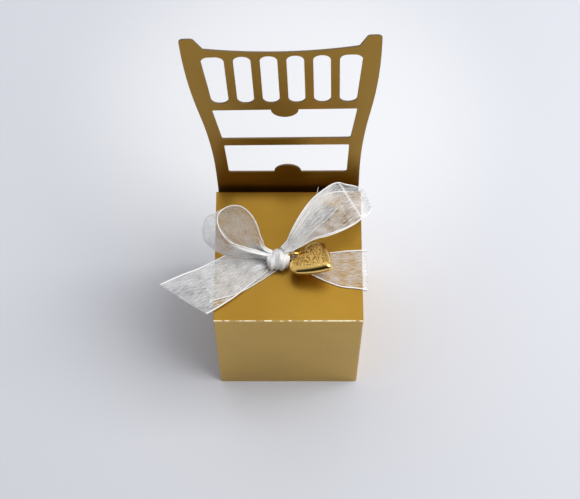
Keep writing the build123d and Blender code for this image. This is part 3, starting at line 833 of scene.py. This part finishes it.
# %% Loose thread
THREAD_RADIUS = 0.07
THREAD_TAPER = 0.6
THREAD_SIDES = 10
thread_root = Vector((6.9, 10.9, 51.4))
thread_tip = Vector((7.6, 14.0, 52.0))

shape = bmesh.new()
shape.loops.layers.uv.new("weave")
gathered_and_highlit_layer = shape.verts.layers.float.new("gathered_and_highlit")
thread_run = thread_tip - thread_root
rod = bmesh.ops.create_cone(
    shape, cap_ends=True, segments=THREAD_SIDES, radius1=THREAD_RADIUS,
    radius2=THREAD_RADIUS * THREAD_TAPER, depth=thread_run.length,
)["verts"]
turned = thread_run.to_track_quat("Z", "Y").to_matrix().to_4x4()
between = Matrix.Translation((thread_root + thread_tip) / 2.0)
bmesh.ops.transform(shape, matrix=between @ turned, verts=rod)
bmesh.ops.scale(shape, vec=(MM, MM, MM), verts=shape.verts)
for vertex in shape.verts:
    vertex[gathered_and_highlit_layer] = 1.0
new_piece("loose_thread", shape, organza, "lid")
print("thread is", round(thread_run.length, 1), "mm long")

# %% [markdown]
# ## Knot
#
# In the knot the ribbon is wrapped once round the roots of the loops, and its two edges are tucked in
# beneath. A line the length of the ribbon's width, spun through a full turn, gives the cloth. Each of
# its points then goes to a place on the knot's profile, and a few broad folds run askew round it.

# %% Knot profile
KNOT_ROWS = 70
KNOT_TURN_STEPS = 96
# From edge to edge of the ribbon, as places along the knot and distances from its middle
knot_profile = [
    Vector((-0.5, 1.15)), Vector((-2.0, 1.2)), Vector((-2.7, 1.6)), Vector((-2.3, 2.2)),
    Vector((-1.2, 2.5)), Vector((0.0, 2.6)), Vector((1.2, 2.5)),
    Vector((2.3, 2.2)), Vector((2.7, 1.6)), Vector((2.0, 1.2)), Vector((0.5, 1.15)),
]

shape = bmesh.new()
weave = shape.loops.layers.uv.new("weave")
gathered_and_highlit_layer = shape.verts.layers.float.new("gathered_and_highlit")
row_ends = [shape.verts.new((0.0, 0.0, 1.0)), shape.verts.new((1.0, 0.0, 1.0))]
line = shape.edges.new(row_ends)
bmesh.ops.subdivide_edges(shape, edges=[line], cuts=KNOT_ROWS - 1)
bmesh.ops.spin(
    shape, geom=shape.verts[:] + shape.edges[:], cent=(0, 0, 0), axis=(1, 0, 0), angle=2.0 * math.pi,
    steps=KNOT_TURN_STEPS, use_merge=True, use_duplicate=False,
)
print("spun line has", len(shape.faces), "faces")

# %% Knot
KNOT_CENTRE = Vector((-2.6, -2.65, 44.0))
KNOT_UNDERSIDE = -1.75
KNOT_HALF_LENGTH = 2.7
KNOT_SPREAD = 1.04
KNOT_SKEW = 0.5
KNOT_WIDENING = 0.12
TUCKED_RADIUS = 1.6
FOLDS_FADE = 0.5
WEAVE_RADIUS = 2.5


def knot_folds(place, turn):
    """Height of the folds that run askew round the knot, from broad to fine."""
    broad = 0.20 * math.sin(2.0 * place + 1.5 * math.sin(turn + 0.6) + 0.7 * math.sin(2.0 * turn))
    narrow = 0.10 * math.sin(4.4 * place - 1.9 * math.cos(turn) + 1.0)
    fine = 0.03 * math.sin(11.0 * place + 2.1 * math.sin(turn))
    return broad + narrow + fine


knot_flat = {}
for vertex in shape.verts:
    across = vertex.co.x
    turn = math.atan2(vertex.co.z, vertex.co.y)
    knot_place, radius = through(knot_profile, across * (len(knot_profile) - 1))
    outside = min(max((radius - TUCKED_RADIUS) / FOLDS_FADE, 0.0), 1.0)
    radius += outside * knot_folds(knot_place, turn)
    knot_flat[vertex.index] = (WEAVE_RADIUS * turn, across * RIBBON_WIDTH)
    skew = KNOT_SKEW * math.sin(turn + 0.5) * (1.0 - abs(knot_place) / KNOT_HALF_LENGTH)
    vertex.co = KNOT_CENTRE + Vector((
        knot_place * (1.0 + KNOT_WIDENING * math.sin(turn)) + skew,
        math.cos(turn) * radius * KNOT_SPREAD,
        max(math.sin(turn) * radius, KNOT_UNDERSIDE),
    ))
    vertex.co *= MM
    vertex[gathered_and_highlit_layer] = 1.0
for face in shape.faces:
    for loop in face.loops:
        loop[weave].uv = knot_flat[loop.vert.index]
bmesh.ops.recalc_face_normals(shape, faces=shape.faces)
knot = new_piece("ribbon_knot", shape, organza, "lid")
thick = knot.modifiers.new("cloth thickness", "SOLIDIFY")
thick.thickness = RIBBON_BODY * MM
thick.offset = -1.0
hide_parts("bow_knot")

# %% [markdown]
# ## Gilt charm
#
# The charm is a hollow puffed heart of thin gilt metal. Its rim is plain and mirror bright, and its
# domed faces are engraved with small scrolls, which break the reflections into sparkle. A ball is
# the simplest start for a closed puffed form: pulled out in plan to a heart's outline and pressed
# flatter, it keeps an even mesh with no seam.

# %% Gilt metal
GILT = (1.0, 0.67, 0.21, 1.0)
# Darker gilt: painted shade in the engraved grooves of the heart, and tarnish on the ring.
GILT_SHADE_AND_TARNISH = (0.42, 0.20, 0.035, 1.0)
RIM_ROUGHNESS = 0.14
DOME_ROUGHNESS = 0.40

charm_metal, tree, shader = start_material("gilt_charm")
place = add_node(tree, "TexCoord").outputs["Object"]
rim = add_node(tree, "Attribute", attribute_name="rim").outputs["Fac"]
curls = {"Vector": place, "Scale": 330.0, "Distortion": 14.0, "Detail": 3.0, "Detail Scale": 1.8}
scrolls = add_node(tree, "TexWave", curls).outputs["Fac"]
on_dome = ramp(tree, rim, 0.70, 0.76, 1.0, 0.0)
engraving = maths(tree, "MULTIPLY", ramp(tree, scrolls, 0.68, 0.92), on_dome)
# The engraved lines are coloured darker: painted shade in the grooves.
tree.links.new(blend_colours(tree, engraving, GILT, GILT_SHADE_AND_TARNISH), shader.inputs["Base Color"])
polish = ramp(tree, on_dome, 0.0, 1.0, RIM_ROUGHNESS, DOME_ROUGHNESS)
tree.links.new(polish, shader.inputs["Roughness"])
shader.inputs["Metallic"].default_value = 1.0
bump = add_node(tree, "Bump", {"Height": engraving, "Strength": 0.9, "Distance": 0.14 * MM}, invert=True)
tree.links.new(bump.outputs[0], shader.inputs["Normal"])
print("gilt engraved on the dome")

# %% Wire ring helper
def spin_ring(shape, matrix, radius, wire, around=64, section=16):
    """Adds a closed ring of round wire: a small circle, spun through a full turn."""
    circle = bmesh.ops.create_circle(shape, segments=section, radius=wire)["verts"]
    upright = Matrix.Translation((radius, 0, 0)) @ Matrix.Rotation(math.radians(90.0), 4, "X")
    bmesh.ops.transform(shape, matrix=upright, verts=circle)
    edges = list({edge for vertex in circle for edge in vertex.link_edges})
    before = set(shape.verts) - set(circle)
    bmesh.ops.spin(
        shape, geom=circle + edges, cent=(0, 0, 0), axis=(0, 0, 1), angle=2.0 * math.pi,
        steps=around, use_merge=True, use_duplicate=False,
    )
    made = [vertex for vertex in shape.verts if vertex not in before]
    bmesh.ops.transform(shape, matrix=matrix, verts=made)
    return made


print("ring helper ready")

# %% [markdown]
# ## Heart
#
# In plan the heart is two lobes, each tapering from a round end to the common tip. Its outline has no
# simple formula seen from the middle, so the distance to it is found by halving: is this point still
# inside, or not? The ball's points are then moved out to that distance, and a groove parts the rim
# from the dome. The charm lies askew on the bow, with its tip lifted.

# %% Heart outline
LOBE_RADIUS = 3.05
LOBE_PLACE = (0.95, 2.8)
POINT_RADIUS = 1.05
HEART_LENGTH = 9.0
HEART_MIDDLE = 3.1
FLANK_BULGE = 0.35
FARTHEST = 12.0
HALVINGS = 24


def inside_heart(x, y):
    """Whether a point is in one of the two lobes, which taper from a round end to the heart's tip."""
    lobe = Vector(LOBE_PLACE)
    tip = Vector((HEART_LENGTH - POINT_RADIUS, 0.0))
    point = Vector((x, abs(y)))
    run = tip - lobe
    share = min(max((point - lobe).dot(run) / run.length_squared, 0.0), 1.0)
    reach = LOBE_RADIUS + (POINT_RADIUS - LOBE_RADIUS) * share + FLANK_BULGE * math.sin(math.pi * share)
    return (point - lobe - run * share).length < reach


def outline_reach(angle):
    """Distance from the heart's middle to its outline, by halving."""
    near, far = 0.0, FARTHEST
    for _ in range(HALVINGS):
        middle = (near + far) / 2.0
        if inside_heart(HEART_MIDDLE + middle * math.cos(angle), middle * math.sin(angle)):
            near = middle
        else:
            far = middle
    return near


print("the tip is", round(outline_reach(0.0), 2), "mm from the heart's middle")

# %% Heart
HEART_HEADING = math.radians(-37.0)
HEART_LIFT = math.radians(30.0)
HEART_ROLL = math.radians(-10.0)
HEART_THICKNESS = 4.2
PLAN_POWER = 0.85
PUFF_POWER = 0.9
GROOVE_DEPTH = 0.10
GROOVE_PLACE = 0.78
GROOVE_WIDTH = 0.025
LINK = Vector((3.28, -1.67, 44.7))
LINK_SLACK = 0.4
BAIL_RADIUS = 1.25
BAIL_WIRE = 0.25

charm_place = Matrix.Translation(LINK) @ Matrix.Rotation(HEART_HEADING, 4, "Z")
charm_place = charm_place @ Matrix.Rotation(-HEART_LIFT, 4, "Y")
heart_place = charm_place @ Matrix.Translation((LINK_SLACK + BAIL_RADIUS, 0.0, 0.0))
heart_place = heart_place @ Matrix.Rotation(HEART_ROLL, 4, "X")
bail_place = charm_place @ Matrix.Translation((LINK_SLACK, 0.0, 0.0))

shape = bmesh.new()
rim_layer = shape.verts.layers.float.new("rim")
ball = bmesh.ops.create_uvsphere(shape, u_segments=128, v_segments=64, radius=1.0)["verts"]
for vertex in ball:
    spread = min(math.hypot(vertex.co.x, vertex.co.y), 1.0)
    angle = math.atan2(vertex.co.y, vertex.co.x)
    plan = spread**PLAN_POWER
    reach = outline_reach(angle) * plan
    puff = math.copysign(abs(vertex.co.z) ** PUFF_POWER, vertex.co.z)
    groove = GROOVE_DEPTH * hump(plan, GROOVE_PLACE, GROOVE_WIDTH)
    height = puff * (HEART_THICKNESS / 2.0 - groove)
    vertex.co = Vector((HEART_MIDDLE + reach * math.cos(angle), reach * math.sin(angle), height))
    vertex[rim_layer] = plan
bmesh.ops.transform(shape, matrix=heart_place, verts=ball)
for vertex in spin_ring(shape, bail_place, BAIL_RADIUS, BAIL_WIRE):
    vertex[rim_layer] = 1.0
bmesh.ops.scale(shape, vec=(MM, MM, MM), verts=shape.verts)
bmesh.ops.recalc_face_normals(shape, faces=shape.faces)
heart = new_piece("gilt_heart", shape, charm_metal, "charm")
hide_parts("heart_charm")
print("heart faces:", len(heart.data.polygons))

# %% [markdown]
# ## Jump ring
#
# A plain wire ring joins the charm to the knot. It stands on edge, with its far side in the knot and
# its near side through the charm's loop, so its place follows from the link between the two.

# %% Jump ring
RING_RADIUS = 1.9
RING_WIRE = 0.26
RING_HEADING = Vector((5.88, 0.98, 0.0)).normalized()

shape = bmesh.new()
ring_turn = Matrix.Rotation(math.atan2(RING_HEADING.y, RING_HEADING.x), 4, "Z")
ring_turn = ring_turn @ Matrix.Rotation(math.radians(90.0), 4, "X")
ring_place = Matrix.Translation(LINK - RING_HEADING * RING_RADIUS) @ ring_turn
spin_ring(shape, ring_place, RING_RADIUS, RING_WIRE)
bmesh.ops.scale(shape, vec=(MM, MM, MM), verts=shape.verts)
bmesh.ops.recalc_face_normals(shape, faces=shape.faces)

ring_metal, tree, shader = start_material("gilt_wire")
place = add_node(tree, "TexCoord").outputs["Object"]
tarnish = noise(tree, place, 900.0, 3.0)
tarnished = blend_colours(tree, ramp(tree, tarnish, 0.5, 0.8), GILT, GILT_SHADE_AND_TARNISH)
tree.links.new(tarnished, shader.inputs["Base Color"])
tree.links.new(ramp(tree, tarnish, 0.3, 0.8, 0.12, 0.3), shader.inputs["Roughness"])
shader.inputs["Metallic"].default_value = 1.0
ring = new_piece("gilt_ring", shape, ring_metal, "lid")
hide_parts("jump_ring")
print("ring faces:", len(ring.data.polygons))
